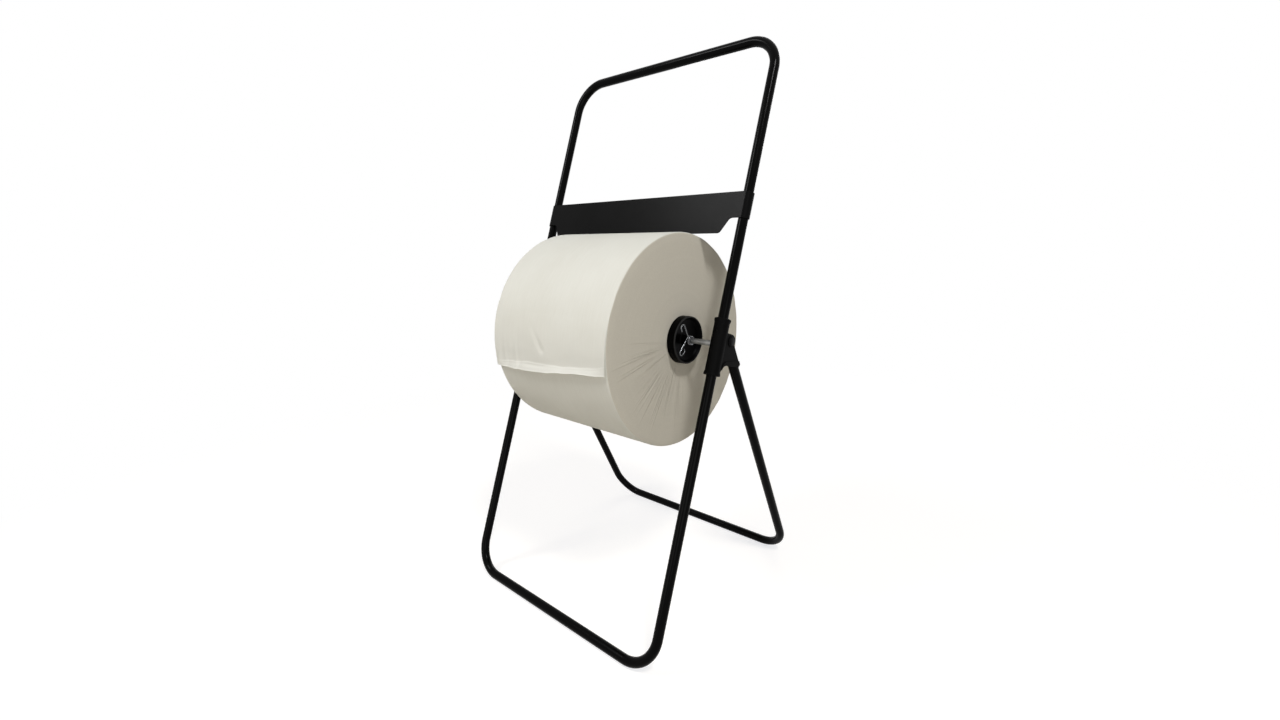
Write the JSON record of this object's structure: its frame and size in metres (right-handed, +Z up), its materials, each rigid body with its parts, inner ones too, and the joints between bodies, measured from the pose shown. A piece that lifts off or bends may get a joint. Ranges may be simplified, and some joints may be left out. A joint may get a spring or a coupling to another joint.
{
  "type": "floor roll dispenser stand",
  "caption": "Folding floor stand of bent tube that holds a jumbo paper roll on a cross rod, with a tear plate above it and a carrying hoop on top.",
  "frame": {"origin": "middle of the footprint on the floor", "axes": "+Z up, -Y towards the side the paper is pulled from, +X along the cross rod to the right as seen from the front"},
  "size_m": [0.4398, 0.4098, 0.8805],
  "materials": {
    "tube_black": "satin",
    "plate_black": "satin",
    "moulded_black": "matte",
    "zinc": "satin",
    "screw_dark": "satin",
    "roll_white": "matte",
    "sheet_white": "matte",
    "core_brown": "matte"
  },
  "bodies": {
    "frame": {"upper_hoop": "tube_black", "lower_hoop": "tube_black", "left_bracket": "moulded_black", "right_bracket": "moulded_black", "left_hinge_pin": "screw_dark", "right_hinge_pin": "screw_dark", "left_lock_screw": "screw_dark", "right_lock_screw": "screw_dark", "tear_plate": "plate_black", "left_plate_screw": "screw_dark", "right_plate_screw": "screw_dark"},
    "rear_stand": {"rear_hoop": "tube_black", "left_leg_knuckle": "moulded_black", "right_leg_knuckle": "moulded_black"},
    "spindle": {"spindle_rod": "zinc"},
    "roll": {"paper_roll": "roll_white", "cardboard_core": "core_brown", "loose_sheet": "sheet_white"},
    "left_plug": {"left_core_plug": "moulded_black"},
    "right_plug": {"right_core_plug": "moulded_black"},
    "left_clip": {"left_spring_clip": "zinc"},
    "right_clip": {"right_spring_clip": "zinc"}
  },
  "joints": [
    {"name": "rear_stand_fold", "type": "hinge", "parent": "frame", "child": "rear_stand", "pos_m": [0, -0.00712, 0.44626], "axis": [-1, 0, 0], "range_deg": [0, 45]},
    {"name": "spindle_slide", "type": "slide", "parent": "frame", "child": "spindle", "axis": [-1, 0, 0], "range_m": [0, 0.0097]},
    {"name": "roll_spin", "type": "hinge", "parent": "spindle", "child": "roll", "pos_m": [0.0203, -0.02772, 0.44163], "axis": [1, 0, 0], "continuous": true},
    {"name": "left_plug_slide", "type": "slide", "parent": "spindle", "child": "left_plug", "axis": [-1, 0, 0], "range_m": [0, 0.06]},
    {"name": "right_plug_slide", "type": "slide", "parent": "spindle", "child": "right_plug", "axis": [1, 0, 0], "range_m": [0, 0.03]},
    {"name": "left_clip_slide", "type": "slide", "parent": "spindle", "child": "left_clip", "axis": [-1, 0, 0], "range_m": [0, 0.06]},
    {"name": "right_clip_slide", "type": "slide", "parent": "spindle", "child": "right_clip", "axis": [1, 0, 0], "range_m": [0, 0.03]}
  ],
  "couplings": [
    {"joint": "left_clip_slide", "follows": "left_plug_slide", "ratio": 1},
    {"joint": "right_clip_slide", "follows": "right_plug_slide", "ratio": 1}
  ]
}
